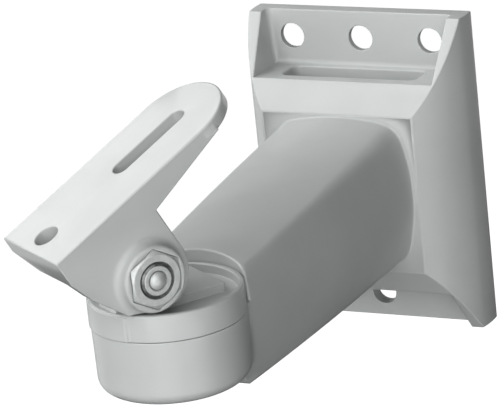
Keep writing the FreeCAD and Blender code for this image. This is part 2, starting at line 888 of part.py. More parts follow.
def build_saddle_web(body):
    top = size("saddle_rise")
    end = -size("square_end")
    tilt = size("tilt_angle")
    heel = size("web_heel_radius")
    foot = size("web_foot_depth")
    # The web's flat foot is level in this pose, web_foot_depth under the bolt.
    foot_x = -foot * sine(tilt)
    foot_z = -foot * cosine(tilt)
    run = root(heel * heel - foot * foot)
    right = (foot_x + run * cosine(tilt), foot_z - run * sine(tilt))
    slant = (end + size("web_foot_in"), top - size("web_foot_down"))
    back = (end + size("web_corner_in"), top - size("web_corner_down"))
    # Where the slanting edge from back through slant meets the flat foot.
    way_x = slant[0] - back[0]
    way_z = slant[1] - back[1]
    below = foot + slant[0] * sine(tilt) + slant[1] * cosine(tilt)
    fall = -(way_x * sine(tilt) + way_z * cosine(tilt))
    share = below / fall
    left = (slant[0] + way_x * share, slant[1] + way_z * share)
    web = new_sketch(body, "web", "XZ_Plane", web_inner)
    add_outline(web, [
        (end, top - size("haunch_depth") + 0.5),
        back,
        left,
        (right[0], right[1], heel, 1),
        (heel, 0.0),
        (heel, top - size("haunch_depth") + 0.5),
    ])
    grow(body, "Pad", "web_plate", web, size("web_thickness"))

    build_boss(body)
    # The boss's cove is trimmed level with the foot.
    trim = new_sketch(body, "foot_trim", "XZ_Plane", web_face + size("boss_cove"))
    far = heel * 2.0
    add_outline(trim, [
        (foot_x - far * cosine(tilt), foot_z + far * sine(tilt)),
        (foot_x + far * cosine(tilt), foot_z - far * sine(tilt)),
        (foot_x + far * (cosine(tilt) - sine(tilt)), foot_z - far * (sine(tilt) + cosine(tilt))),
        (foot_x - far * (cosine(tilt) + sine(tilt)), foot_z + far * (sine(tilt) - cosine(tilt))),
    ])
    grow(body, "Pocket", "foot_trim_cut", trim, size("boss_cove") + size("web_thickness"))


def build_boss(body):
    """The round boss on the web, turned about the bolt line with a cove at its root."""
    boss = size("boss_radius")
    cove = size("boss_cove")
    edge = size("boss_edge")
    profile = new_sketch(body, "boss_profile", "XY_Plane")
    add_outline(profile, [
        (0.0, -boss_face),
        (boss - edge, -boss_face, edge, 1),
        (boss, -boss_face + edge),
        (boss, -web_face - cove, cove, -1),
        (boss + cove, -web_face),
        (boss + cove, -web_face + 1.0),
        (0.0, -web_face + 1.0),
    ])
    grow(body, "Revolution", "boss", profile)


def build_saddle_cuts(body):
    near = -web_face
    middle = near + size("saddle_width") / 2.0
    top = size("saddle_rise")
    slot = new_sketch(body, "slot", "XY_Plane", top)
    half = size("slot_width") / 2.0
    start = size("slot_start") + half
    end = size("slot_end") - half
    add_outline(slot, [
        (start, middle - half),
        (end, middle - half, half, 1),
        (end, middle + half),
        (start, middle + half, half, 1),
    ])
    grow(body, "Pocket", "slot_cut", slot, size("haunch_depth") + 1.0)

    hole = new_sketch(body, "camera_hole", "XY_Plane", top)
    place = -size("square_end") + size("camera_hole_from_end")
    add_circle(hole, place, middle, size("camera_hole_diameter") / 2.0)
    grow(body, "Pocket", "camera_hole_cut", hole, size("haunch_depth") + 1.0)

    bore = new_sketch(body, "bolt_hole", "XZ_Plane", web_inner - 1.0)
    add_circle(bore, 0.0, 0.0, shaft_hole)
    grow(body, "Pocket", "bolt_bore", bore, reverse=True)

    pocket = new_sketch(body, "nut_pocket", "XZ_Plane", pocket_floor)
    flats = size("nut_across_flats") + size("nut_pocket_clearance") * 2.0
    add_hexagon(pocket, flats, size("tilt_angle") * -1.0)
    grow(body, "Pocket", "nut_pocket_cut", pocket, reverse=True)


def soften_saddle(body):
    """Rounds the plate's top outline, its openings and the web's outline."""
    top = size("saddle_rise").value
    near = -web_face.value
    middle = near + size("saddle_width").value / 2.0

    def on_top(edge):
        return close(middle_of(edge).z, top)

    def on_opening(edge):
        point = middle_of(edge)
        across = abs(point.y - middle) < size("camera_hole_diameter").value / 2.0 + 0.1
        inside = -size("square_end").value + 1.5 < point.x < size("slot_end").value + 0.1
        return on_top(edge) and across and inside

    def on_web_outline(edge):
        point = middle_of(edge)
        under = point.z < top - size("haunch_depth").value + 0.1
        return close(point.y, near) and under and math.hypot(point.x, point.z) > cove_reach

    def on_web_back(edge):
        point = middle_of(edge)
        under = point.z < top - size("haunch_depth").value - 0.1
        out = math.hypot(point.x, point.z) > shaft_hole.value + 1.0
        return close(point.y, -web_inner.value) and under and out

    cove_reach = (size("boss_radius") + size("boss_cove")).value + 0.2
    soften(body, "Fillet", "outline_edges", size("cast_edge"), lambda edge: (
        on_top(edge) and not on_opening(edge)))
    soften(body, "Fillet", "opening_edges", size("fine_edge"), on_opening)
    soften(body, "Fillet", "web_edges", size("fine_edge"), on_web_outline)
    soften(body, "Fillet", "web_back_edges", size("fine_edge"), on_web_back)


def build_saddle():
    body = new_body("saddle")
    build_saddle_plate(body)
    build_saddle_web(body)
    build_saddle_cuts(body)
    soften_saddle(body)
    seat(body, bolt_height, -bolt_offset, size("tilt_angle"))
    return body


# Fasteners

def bevel_ring(body, name, role, inner, outer, face, drop):
    """Turns a 30 degree bevel off the corners of a hexagon whose face is at that height."""
    cut = new_sketch(body, name, role)
    add_outline(cut, [
        (inner, face),
        (outer, face - drop),
        (outer, face),
    ])
    grow(body, "Groove", f"{name}_cut", cut)


def build_tilt_nut():
    body = new_body("tilt_nut")
    flats = size("nut_across_flats")
    block = new_sketch(body, "hexagon", "XY_Plane")
    add_hexagon(block, flats)
    grow(body, "Pad", "block", block, size("nut_height"))
    bore = new_sketch(body, "bore", "XY_Plane")
    add_circle(bore, 0.0, 0.0, thread_hole)
    grow(body, "Pocket", "thread_bore", bore, reverse=True)
    crown = flats * 0.475
    outer = flats * 0.6
    bevel_ring(body, "crown", "XZ_Plane", crown, outer, size("nut_height"), (outer - crown) * 0.577)
    mouth = new_sketch(body, "mouth", "XZ_Plane")
    add_outline(mouth, [
        (0.0, size("nut_height") - 0.8),
        (thread_hole - 0.2, size("nut_height") - 0.8),
        (thread_hole + 0.7, size("nut_height")),
        (0.0, size("nut_height")),
    ])
    grow(body, "Groove", "mouth_cut", mouth)
    place_across(body, pocket_floor)
    return body


def place_across(body, lift):
    """Lays a body built along +Z onto the tilt bolt's line, its +Z toward the nut's side."""
    frame = head_frame(bolt_height, -bolt_offset)
    out = frame.Rotation.multVec(Vector(0, -1, 0))
    turn = frame.Rotation.multiply(Rotation(Vector(1, 0, 0), 90.0))
    body.Placement = Placement(frame.Base + out * lift.value, turn)
    pan = size("pan_angle")
    bind(body, "Placement.Base.x", lift * sine(pan) - bolt_offset * cosine(pan))
    bind(body, "Placement.Base.y", -lift * cosine(pan) - bolt_offset * sine(pan) - reach)
    bind(body, "Placement.Base.z", bolt_height)


def build_hex_bolt(label, shank):
    """A hexagon-head bolt along +Z: head under the origin plane, shank above it."""
    body = new_body(label)
    flats = size("nut_across_flats")
    head = size("head_height")
    block = new_sketch(body, "head", "XY_Plane")
    add_hexagon(block, flats)
    grow(body, "Pad", "head_block", block, head, reverse=True)
    rod = new_sketch(body, "rod", "XY_Plane", -0.5)
    add_circle(rod, 0.0, 0.0, bolt_radius)
    grow(body, "Pad", "shank", rod, shank + 0.5)
    crown = flats * 0.475
    outer = flats * 0.6
    cut = new_sketch(body, "crown", "XZ_Plane")
    add_outline(cut, [
        (crown, -head),
        (outer, -head),
        (outer, -head + (outer - crown) * 0.577),
    ])
    grow(body, "Groove", "crown_cut", cut)
    soften(body, "Chamfer", "point", size("bolt_point"), lambda edge: (
        close(middle_of(edge).z, shank.value)))
    return body


def build_tilt_bolt():
    shank = bolt_tip - head_seat
    body = build_hex_bolt("tilt_bolt", shank)
    # The riveted end: a low dome in the middle of the end face, inside a turned groove.
    foot = size("end_dome_diameter") / 2.0
    rise = size("end_dome_height")
    groove = new_sketch(body, "end_groove", "XZ_Plane")
    add_outline(groove, [
        (foot - 0.1, shank - size("end_groove_depth")),
        (foot + size("end_groove_width"), shank - size("end_groove_depth")),
        (foot + size("end_groove_width") + size("end_groove_depth") * 0.5, shank),
        (foot - 0.1, shank),
    ])
    grow(body, "Groove", "end_groove_cut", groove)
    dome = new_sketch(body, "end_dome", "XZ_Plane")
    add_outline(dome, [
        (0.0, shank - 1.5),
        (foot, shank - 1.5),
        (foot, shank, (foot * foot + rise * rise) / (rise * 2.0), 1),
        (0.0, shank + rise),
    ])
    grow(body, "Revolution", "end_dome_turned", dome)
    place_across(body, head_seat)
    return body


def build_ring(label, outer, inner, thickness):
    body = new_body(label)
    ring = new_sketch(body, "ring", "XY_Plane")
    add_circle(ring, 0.0, 0.0, outer)
    add_circle(ring, 0.0, 0.0, inner)
    grow(body, "Pad", "washer", ring, thickness)
    return body


def build_spring_washer(label):
    outer = size("spring_washer_diameter") / 2.0
    inner = bolt_radius + size("washer_clearance") / 2.0
    body = build_ring(label, outer, inner, size("spring_washer_thickness"))
    slit = new_sketch(body, "slit", "XY_Plane")
    half = size("spring_washer_slot") / 2.0
    add_outline(slit, [
        (0.0, -half),
        (outer + 1.0, -half),
        (outer + 1.0, half),
        (0.0, half),
    ])
    grow(body, "Pocket", "slit_cut", slit, reverse=True)
    return body


def build_tilt_washers():
    loose = bolt_radius + size("washer_clearance") / 2.0
    flat = build_ring("tilt_washer", size("washer_diameter") / 2.0, loose, size("washer_thickness"))
    place_across(flat, ear_back - size("washer_thickness"))
    spring = build_spring_washer("tilt_spring_washer")
    place_across(spring, head_seat)
    friction = build_ring("tilt_friction_washer", size("friction_washer_diameter") / 2.0, loose,
                          size("friction_washer_thickness"))
    place_across(friction, size("ear_front"))
    return [flat, spring, friction]


def build_pan_fasteners():
    loose = bolt_radius + size("washer_clearance") / 2.0
    under_deck = deck_floor - size("washer_thickness")
    under_washer = under_deck - size("spring_washer_thickness")
    bolt = build_hex_bolt("pan_bolt", base_floor + size("pan_bolt_bite") - under_washer)
    seat(bolt, under_washer)
    flat = build_ring("pan_washer", size("washer_diameter") / 2.0, loose, size("washer_thickness"))
    seat(flat, under_deck)
    spring = build_spring_washer("pan_spring_washer")
    seat(spring, under_washer)
    outer = cup_radius - size("friction_ring_inset")
    ring = build_ring("friction_ring", outer, outer - size("friction_ring_width"), ring_thickness)
    seat(ring, seam)
    return [bolt, flat, spring, ring]


def check_and_export(bodies):
    """Stops on any failed feature or bad shape, then writes one file for each piece."""
    doc.recompute()
    for thing in doc.Objects:
        bad = {"Invalid", "Error"} & set(thing.State)
        assert not bad, f"{thing.Name} failed: {thing.State}"
    os.makedirs("parts", exist_ok=True)
    for body in bodies:
        shape = body.Shape
        assert not shape.isNull() and shape.isValid(), f"{body.Label} has a bad shape"
        assert len(shape.Solids) == 1, f"{body.Label} has {len(shape.Solids)} solids"
        print(f"{body.Label:22s} {shape.Volume / 1000.0:9.2f} cm3  {shape.BoundBox}")
        shape.exportStep(f"parts/{body.Label}.step")


fill_sheet()
pieces = [build_wall_arm(), build_swivel_base(), build_saddle(), build_tilt_nut(), build_tilt_bolt()]
pieces += build_tilt_washers()
pieces += build_pan_fasteners()
check_and_export(pieces)
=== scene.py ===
"""Studio scene of a cast wall bracket for a security camera.

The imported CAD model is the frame. Its castings and plain washers are carried over and get their
finishes. The bolts, the nut and the spring washers are rebuilt with their threads and coils.
Lengths are in metres. The frame's origin is the middle of the wall plate's back face, with the
arm along -Y and +Z up.
"""
from __future__ import annotations

import logging
import math
from dataclasses import dataclass, field
from enum import Enum
from typing import Any, Callable, ClassVar

import bmesh
import bpy
from mathutils import Matrix, Vector


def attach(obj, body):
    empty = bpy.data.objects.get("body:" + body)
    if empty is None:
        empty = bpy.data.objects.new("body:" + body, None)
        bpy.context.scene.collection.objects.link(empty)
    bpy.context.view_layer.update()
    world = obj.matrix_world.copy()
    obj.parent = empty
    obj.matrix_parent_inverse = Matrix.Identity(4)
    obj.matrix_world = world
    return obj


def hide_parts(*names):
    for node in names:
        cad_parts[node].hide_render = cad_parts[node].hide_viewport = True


LOG = logging.getLogger("camera_bracket")
MM = 0.001

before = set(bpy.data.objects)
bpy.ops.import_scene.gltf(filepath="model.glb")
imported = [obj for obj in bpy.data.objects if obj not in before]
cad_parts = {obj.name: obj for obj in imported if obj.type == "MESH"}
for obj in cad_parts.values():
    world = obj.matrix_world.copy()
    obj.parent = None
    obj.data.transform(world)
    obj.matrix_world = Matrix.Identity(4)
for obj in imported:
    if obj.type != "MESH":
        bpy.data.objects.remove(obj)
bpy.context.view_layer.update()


class Body(Enum):
    """The rigid bodies of the bracket, as the frame names them."""

    ARM = "arm"
    TURNTABLE = "turntable"
    HEAD = "head"


class Slot(Enum):
    """The record's material slots."""

    PAINT = "paint"
    ZINC = "zinc"
    NYLON = "nylon"


class Winding(Enum):
    """The sizes that a wound section is made from."""

    INNER_RADIUS = "Inner Radius"
    DEPTH = "Depth"
    ROOT_WIDTH = "Root Width"
    CREST_WIDTH = "Crest Width"
    TURNS = "Turns"
    RISE = "Rise"


# Finishes


@dataclass
class Shader:
    """A material under construction, with short calls for its nodes."""

    name: str
    material: bpy.types.Material = field(init=False)
    surface: bpy.types.Node = field(init=False)
    place: bpy.types.NodeSocket = field(init=False)

    noise_low: ClassVar[float] = 0.3
    noise_high: ClassVar[float] = 0.7
    flat_match: ClassVar[float] = 0.985
    sharp_match: ClassVar[float] = 0.8
    # Samples of the rounded normal that finds edges for the painted highlight.
    highlight_samples: ClassVar[int] = 8

    def __post_init__(self) -> None:
        """Starts the material with its surface shader and object coordinates."""
        self.material = bpy.data.materials.new(self.name)
        self.material.use_nodes = True
        self.surface = self.material.node_tree.nodes["Principled BSDF"]
        coordinates = self.add("ShaderNodeTexCoord")
        self.place = coordinates.outputs["Object"]

    def add(self, kind: str, **settings: Any) -> bpy.types.Node:
        """Adds a node.

        Args:
            kind: The node's type name.
            **settings: Properties to set on the node.

        Returns:
            The new node.
        """
        node = self.material.node_tree.nodes.new(kind)
        for key, value in settings.items():
            setattr(node, key, value)
        return node

    def link(self, source: bpy.types.NodeSocket, target: bpy.types.NodeSocket) -> None:
        """Joins two sockets."""
        self.material.node_tree.links.new(source, target)

    def noise(self, size: float, detail: float, roughness: float = 0.5) -> bpy.types.NodeSocket:
        """Noise whose blotches are about the given size.

        Args:
            size: Size of one blotch in metres.
            detail: Number of finer layers.
            roughness: How strong the finer layers are.

        Returns:
            The noise's value socket, from 0 to 1.
        """
        node = self.add("ShaderNodeTexNoise")
        node.inputs["Scale"].default_value = 1.0 / size
        node.inputs["Detail"].default_value = detail
        node.inputs["Roughness"].default_value = roughness
        self.link(self.place, node.inputs["Vector"])
        return node.outputs["Fac"]

    def spread(self, value: bpy.types.NodeSocket, low: float, high: float) -> bpy.types.NodeSocket:
        """Maps a noise value to a range.

        Args:
            value: The noise, which mostly lies between noise_low and noise_high.
            low: Result at the noise's low side.
            high: Result at the noise's high side.

        Returns:
            The mapped value.
        """
        node = self.add("ShaderNodeMapRange")
        node.inputs["From Min"].default_value = self.noise_low
        node.inputs["From Max"].default_value = self.noise_high
        node.inputs["To Min"].default_value = low
        node.inputs["To Max"].default_value = high
        self.link(value, node.inputs["Value"])
        return node.outputs["Result"]

    def blend(
        self,
        share: bpy.types.NodeSocket,
        first: tuple[float, float, float] | bpy.types.NodeSocket,
        second: tuple[float, float, float] | bpy.types.NodeSocket,
    ) -> bpy.types.NodeSocket:
        """Mixes two colours.

        Args:
            share: How much of the second colour shows.
            first: A colour or a colour socket.
            second: A colour or a colour socket.

        Returns:
            The mixed colour.
        """
        node = self.add("ShaderNodeMix", data_type="RGBA")
        self.link(share, node.inputs["Factor"])
        colours = [socket for socket in node.inputs if socket.type == "RGBA"]
        for socket, colour in zip(colours, (first, second)):
            if isinstance(colour, tuple):
                socket.default_value = (*colour, 1.0)
            else:
                self.link(colour, socket)
        return next(socket for socket in node.outputs if socket.type == "RGBA")

    def rounded(self, radius: float, samples: int) -> bpy.types.NodeSocket:
        """The surface's normal with its sharp edges shaded round.

        Args:
            radius: The edges' radius in metres.
            samples: How finely the radius is sampled.

        Returns:
            The normal.
        """
        node = self.add("ShaderNodeBevel", samples=samples)
        node.inputs["Radius"].default_value = radius
        return node.outputs["Normal"]

    def edges(self, radius: float, strength: float) -> bpy.types.NodeSocket:
        """Finds sharp edges, where a paler colour is blended in as a painted highlight.

        Near an edge the rounded normal turns away from the plain one. The painted highlight starts
        where their dot product falls to flat_match, and is full at sharp_match.

        Args:
            radius: How far from an edge the painted highlight reaches, in metres.
            strength: The value right at a square edge.

        Returns:
            A value that is 0 away from edges.
        """
        plain = self.add("ShaderNodeNewGeometry")
        match = self.add("ShaderNodeVectorMath", operation="DOT_PRODUCT")
        self.link(self.rounded(radius, self.highlight_samples), match.inputs[0])
        self.link(plain.outputs["Normal"], match.inputs[1])
        share = self.add("ShaderNodeMapRange")
        share.inputs["From Min"].default_value = self.flat_match
        share.inputs["From Max"].default_value = self.sharp_match
        share.inputs["To Min"].default_value = 0.0
        share.inputs["To Max"].default_value = strength
        self.link(match.outputs["Value"], share.inputs["Value"])
        return share.outputs["Result"]

    def bump(
        self,
        height: bpy.types.NodeSocket,
        depth: float,
        under: bpy.types.NodeSocket | None = None,
    ) -> bpy.types.NodeSocket:
        """Turns a height into a surface normal.

        Args:
            height: The height, from 0 to 1.
            depth: The real depth in metres that 1 stands for.
            under: A normal to build on.

        Returns:
            The normal.
        """
        node = self.add("ShaderNodeBump")
        node.inputs["Strength"].default_value = 1.0
        node.inputs["Distance"].default_value = depth
        self.link(height, node.inputs["Height"])
        if under is not None:
            self.link(under, node.inputs["Normal"])
        return node.outputs["Normal"]


@dataclass(frozen=True)
class CastPaint:
    """Satin light-grey paint over a die-cast surface, with a painted highlight along its edges."""

    name: str = "cast_paint"
    colour: tuple[float, float, float] = (0.432, 0.446, 0.442)
    shade: tuple[float, float, float] = (0.397, 0.411, 0.407)
    roughness: tuple[float, float] = (0.28, 0.38)
    refraction: float = 1.47
    cloud_size: float = 32.0 * MM
    peel_size: float = 1.3 * MM
    peel_depth: float = 0.012 * MM
    flow_size: float = 11.0 * MM
    flow_depth: float = 0.05 * MM
    edge_radius: float = 0.55 * MM
    edge_samples: int = 10
    # A painted highlight: sharp edges are blended towards this paler colour.
    edge_highlight_colour: tuple[float, float, float] = (0.64, 0.655, 0.65)
    edge_highlight_share: float = 0.6

    def build(self) -> bpy.types.Material:
        """Makes the material.

        Returns:
            The finished material.
        """
        shader = Shader(self.name)
        surface = shader.surface
        clouds = shader.spread(shader.noise(self.cloud_size, detail=3.0), 0.0, 1.0)
        # Painted highlight: the edge mask blends the paint towards a paler colour.
        worn = shader.edges(self.edge_radius, self.edge_highlight_share)
        body = shader.blend(clouds, self.colour, self.shade)
        shader.link(shader.blend(worn, body, self.edge_highlight_colour), surface.inputs["Base Color"])
        mottle = shader.spread(shader.noise(self.flow_size, detail=4.0), *self.roughness)
        shader.link(mottle, surface.inputs["Roughness"])
        edge = shader.rounded(self.edge_radius, self.edge_samples)
        flow = shader.bump(shader.noise(self.flow_size, detail=1.0), self.flow_depth, edge)
        peel = shader.bump(shader.noise(self.peel_size, detail=2.0), self.peel_depth, flow)
        shader.link(peel, surface.inputs["Normal"])
        surface.inputs["IOR"].default_value = self.refraction
        return shader.material


@dataclass(frozen=True)
class ZincPlate:
    """Dull zinc plate on steel, stained in patches and finely scratched."""

    name: str = "zinc_plate"
    colour: tuple[float, float, float] = (0.59, 0.61, 0.602)
    stain: tuple[float, float, float] = (0.45, 0.47, 0.462)
    roughness: tuple[float, float] = (0.46, 0.6)
    metal: float = 0.45
    stain_size: float = 3.0 * MM
    wear_size: float = 1.8 * MM
    scratch_size: float = 0.5 * MM
    scratch_depth: float = 0.006 * MM
    edge_radius: float = 0.25 * MM
    edge_samples: int = 6

    def build(self) -> bpy.types.Material:
        """Makes the material.

        Returns:
            The finished material.
        """
        shader = Shader(self.name)
        surface = shader.surface
        stains = shader.noise(self.stain_size, detail=4.0, roughness=0.6)
        tint = shader.blend(shader.spread(stains, 0.0, 1.0), self.colour, self.stain)
        shader.link(tint, surface.inputs["Base Color"])
        wear = shader.spread(shader.noise(self.wear_size, detail=3.0), *self.roughness)
        shader.link(wear, surface.inputs["Roughness"])
        edge = shader.rounded(self.edge_radius, self.edge_samples)
        scratches = shader.noise(self.scratch_size, detail=3.0, roughness=0.7)
        scratched = shader.bump(scratches, self.scratch_depth, edge)
        shader.link(scratched, surface.inputs["Normal"])
        surface.inputs["Metallic"].default_value = self.metal
        return shader.material


@dataclass(frozen=True)
class ThreadOilAndShade:
    """Dark oiled steel for the threads, also laid in the nut's mouth and the bolt's grooves as
    painted shade, with paint dust in patches.
    """

    name: str = "thread_oil_and_shade"
    colour: tuple[float, float, float] = (0.11, 0.116, 0.113)
    dust: tuple[float, float, float] = (0.26, 0.272, 0.267)
    roughness: tuple[float, float] = (0.3, 0.5)
    patch_size: float = 2.0 * MM
    grain_size: float = 0.3 * MM
    grain_depth: float = 0.02 * MM
    metal: float = 0.4

    def build(self) -> bpy.types.Material:
        """Makes the material.

        Returns:
            The finished material.
        """
        shader = Shader(self.name)
        surface = shader.surface
        patches = shader.spread(shader.noise(self.patch_size, detail=3.0), 0.0, 1.0)
        shader.link(shader.blend(patches, self.colour, self.dust), surface.inputs["Base Color"])
        gloss = shader.spread(shader.noise(self.patch_size, detail=2.0), *self.roughness)
        shader.link(gloss, surface.inputs["Roughness"])
        grain = shader.bump(shader.noise(self.grain_size, detail=2.0), self.grain_depth)
        shader.link(grain, surface.inputs["Normal"])
        surface.inputs["Metallic"].default_value = self.metal
        return shader.material


@dataclass(frozen=True)
class BlackNylon:
    """Matt black moulded nylon of the friction ring and washer."""

    name: str = "black_nylon"
    colour: tuple[float, float, float] = (0.035, 0.036, 0.036)
    worn: tuple[float, float, float] = (0.07, 0.071, 0.07)
    roughness: tuple[float, float] = (0.45, 0.6)
    blotch_size: float = 4.0 * MM
    grain_size: float = 0.4 * MM
    grain_depth: float = 0.01 * MM

    def build(self) -> bpy.types.Material:
        """Makes the material.

        Returns:
            The finished material.
        """
        shader = Shader(self.name)
        surface = shader.surface
        blotches = shader.spread(shader.noise(self.blotch_size, detail=3.0), 0.0, 1.0)
        shader.link(shader.blend(blotches, self.colour, self.worn), surface.inputs["Base Color"])
        gloss = shader.spread(shader.noise(self.blotch_size, detail=2.0), *self.roughness)
        shader.link(gloss, surface.inputs["Roughness"])
        grain = shader.bump(shader.noise(self.grain_size, detail=2.0), self.grain_depth)
        shader.link(grain, surface.inputs["Normal"])
        return shader.material


@dataclass(frozen=True)
class StudioFloor:
    """Seamless pale paper under the bracket."""

    name: str = "studio_paper"
    colour: tuple[float, float, float] = (0.92, 0.92, 0.92)
    paler: tuple[float, float, float] = (0.9384, 0.9384, 0.9384)
    glow_colour: tuple[float, float, float] = (1.0, 1.0, 1.0)
    glow: float = 1.0
    roughness: float = 0.9
    fibre_size: float = 200.0 * MM

    def build(self) -> bpy.types.Material:
        """Makes the material.

        Returns:
            The finished material.
        """
        shader = Shader(self.name)
        surface = shader.surface
        fibres = shader.spread(shader.noise(self.fibre_size, detail=2.0), 0.0, 1.0)
        shader.link(shader.blend(fibres, self.colour, self.paler), surface.inputs["Base Color"])
        surface.inputs["Roughness"].default_value = self.roughness
        surface.inputs["Emission Color"].default_value = (*self.glow_colour, 1.0)
        surface.inputs["Emission Strength"].default_value = self.glow
        return shader.material


@dataclass(frozen=True)
class Finishes:
    """The bracket's finishes, each built once."""

    paint: bpy.types.Material
    zinc: bpy.types.Material
    nylon: bpy.types.Material
    thread: bpy.types.Material

    @classmethod
    def build(cls) -> Finishes:
        """Builds the materials.

        Returns:
            The set of finishes.
        """
        return cls(
            paint=CastPaint().build(),
            zinc=ZincPlate().build(),
            nylon=BlackNylon().build(),
            # Dark oil on the threads, and painted shade in mouths and grooves.
            thread=ThreadOilAndShade().build(),
        )

    def of(self, slot: Slot) -> bpy.types.Material:
        """The material of a record slot."""
        return {Slot.PAINT: self.paint, Slot.ZINC: self.zinc, Slot.NYLON: self.nylon}[slot]


# Meshes


# Points of the CAD model's loose triangles closer than this are one point.
CAD_JOIN = 0.002 * MM
# Neighbouring triangles that turn less than this are one flat face.
CAD_FLAT = math.radians(0.05)
# Points of a swept or turned mesh closer than this are one point.
SWEPT_JOIN = 0.001 * MM
# Directions round the axis of a turned piece, a multiple of a hexagon's six.
TURNED_STEPS = 120
TURNED_SMOOTH_ANGLE = 24.0


def link_object(name: str, mesh: bpy.types.Mesh) -> bpy.types.Object:
    """Puts a mesh into the scene.

    Args:
        name: The object's name.
        mesh: Its mesh.

    Returns:
        The new object, at the origin.
    """
    piece = bpy.data.objects.new(name, mesh)
    bpy.context.scene.collection.objects.link(piece)
    return piece


def merged_copy(node: str, name: str) -> bpy.types.Object:
    """Copies a CAD node with its loose triangles joined into one skin.

    Args:
        node: The CAD node.
        name: The new piece's name.

    Returns:
        The new object, with flats as single faces.
    """
    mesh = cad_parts[node].data.copy()
    mesh.name = name
    skin = bmesh.new()
    skin.from_mesh(mesh)
    bmesh.ops.remove_doubles(skin, verts=skin.verts, dist=CAD_JOIN)
    bmesh.ops.dissolve_limit(skin, angle_limit=CAD_FLAT, verts=skin.verts, edges=skin.edges)
    skin.to_mesh(mesh)
    skin.free()
    return link_object(name, mesh)


def close_skin(mesh: bpy.types.Mesh) -> None:
    """Joins the doubled points of a closed mesh and turns its faces outwards.

    Args:
        mesh: The mesh to mend.
    """
    skin = bmesh.new()
    skin.from_mesh(mesh)
    bmesh.ops.remove_doubles(skin, verts=skin.verts, dist=SWEPT_JOIN)
    bmesh.ops.recalc_face_normals(skin, faces=skin.faces)
    skin.to_mesh(mesh)
    skin.free()


def shade_by_angle(piece: bpy.types.Object, angle: float) -> None:
    """Shades a mesh smooth apart from edges sharper than the angle.

    Args:
        piece: The object.
        angle: The sharpest edge that is still smooth, in degrees.
    """
    piece.data.shade_smooth()
    piece.data.set_sharp_from_angle(angle=math.radians(angle))


@dataclass(frozen=True)
class Corner:
    """A corner of a turned section; dark where the surface after it is a greasy thread, and where it
    is a mouth or groove in painted shade.
    """

    radius: float
    height: float
    oil_and_shade: bool = False


def hexagon_radius(across_flats: float, angle: float) -> float:
    """Distance from a hexagon's middle to its side.

    Args:
        across_flats: The spanner size.
        angle: Direction round the axis, in radians, with a flat at 0.

    Returns:
        The distance in that direction.
    """
    sixth = math.pi / 3.0
    return across_flats / 2.0 / math.cos(angle - sixth * round(angle / sixth))


def turned_piece(
    name: str,
    section: Callable[[float], list[Corner]],
    place: Matrix,
    finishes: Finishes,
    ring_shaped: bool,
) -> bpy.types.Object:
    """Sweeps a section round an axis.

    Args:
        name: The new piece's name.
        section: Gives the section's corners for a direction round the axis.
        place: Where the piece goes; its axis is the matrix's Z.
        finishes: The bracket's materials.
        ring_shaped: Whether the section's last corner joins its first.

    Returns:
        The piece, in zinc, and in the dark thread material where a corner says so: oil on threads,
        and painted shade in mouths and grooves.
    """
    skin = bmesh.new()
    rings = []
    for step in range(TURNED_STEPS):
        angle = 2.0 * math.pi * step / TURNED_STEPS
        rings.append([
            skin.verts.new((
                corner.radius * math.cos(angle),
                corner.radius * math.sin(angle),
                corner.height,
            ))
            for corner in section(angle)
        ])
    # The same corners are dark in every direction.
    oil_and_shade = [corner.oil_and_shade for corner in section(0.0)]
    count = len(oil_and_shade)
    for ring, following in zip(rings, rings[1:] + rings[:1]):
        for first in range(count if ring_shaped else count - 1):
            second = (first + 1) % count
            face = skin.faces.new(
                (ring[first], following[first], following[second], ring[second])
            )
            face.material_index = int(oil_and_shade[first])
    mesh = bpy.data.meshes.new(name)
    skin.to_mesh(mesh)
    skin.free()
    mesh.transform(place)
    close_skin(mesh)
    # A face's material number is 0 for plain zinc and 1 where it is dark, which is oil on a thread
    # and painted shade in a mouth or groove.
    for material in (finishes.zinc, finishes.thread):
        mesh.materials.append(material)
    piece = link_object(name, mesh)
    shade_by_angle(piece, TURNED_SMOOTH_ANGLE)
    return piece


